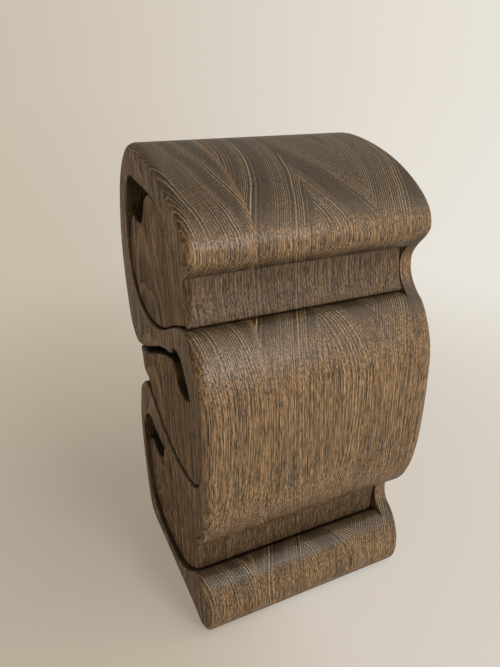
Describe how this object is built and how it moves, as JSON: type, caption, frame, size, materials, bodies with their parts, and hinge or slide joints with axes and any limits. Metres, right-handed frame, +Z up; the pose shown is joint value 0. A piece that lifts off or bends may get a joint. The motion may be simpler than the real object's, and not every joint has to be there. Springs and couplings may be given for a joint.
{
  "type": "jewelry box",
  "caption": "S-shaped wooden jewelry box sawn from a glued block, with smooth curved drawers that slide out of its cavities by finger notches.",
  "frame": {"origin": "middle of the box on the floor, under its flat base", "axes": "-Y towards the front with the drawer faces, +X towards the side where the top and bottom drawers show between the hood, the bulge and the base, +Z up"},
  "size_m": [0.144, 0.136, 0.27],
  "materials": {
    "wood": "satin",
    "drawer_wood": "satin",
    "felt": "matte"
  },
  "bodies": {
    "case": {"case_board_front": "wood", "case_board_second": "wood", "case_board_third": "wood", "case_board_rear": "wood", "back_panel": "wood"},
    "top_drawer": {"top_drawer_front": "drawer_wood", "top_drawer_board_1": "drawer_wood", "top_drawer_board_2": "drawer_wood", "top_drawer_board_3": "drawer_wood", "top_drawer_board_4": "drawer_wood", "top_drawer_back": "drawer_wood", "top_drawer_felt": "felt"},
    "middle_drawer": {"middle_drawer_front": "drawer_wood", "middle_drawer_board_1": "drawer_wood", "middle_drawer_board_2": "drawer_wood", "middle_drawer_board_3": "drawer_wood", "middle_drawer_board_4": "drawer_wood", "middle_drawer_back": "drawer_wood", "middle_drawer_felt": "felt"},
    "bottom_drawer": {"bottom_drawer_front": "drawer_wood", "bottom_drawer_board_1": "drawer_wood", "bottom_drawer_board_2": "drawer_wood", "bottom_drawer_board_3": "drawer_wood", "bottom_drawer_board_4": "drawer_wood", "bottom_drawer_back": "drawer_wood", "bottom_drawer_felt": "felt"}
  },
  "joints": [
    {"name": "top_drawer_slide", "type": "slide", "parent": "case", "child": "top_drawer", "axis": [0, -1, 0], "range_m": [0, 0.11]},
    {"name": "middle_drawer_slide", "type": "slide", "parent": "case", "child": "middle_drawer", "axis": [0, -1, 0], "range_m": [0, 0.11]},
    {"name": "bottom_drawer_slide", "type": "slide", "parent": "case", "child": "bottom_drawer", "axis": [0, -1, 0], "range_m": [0, 0.11]}
  ]
}
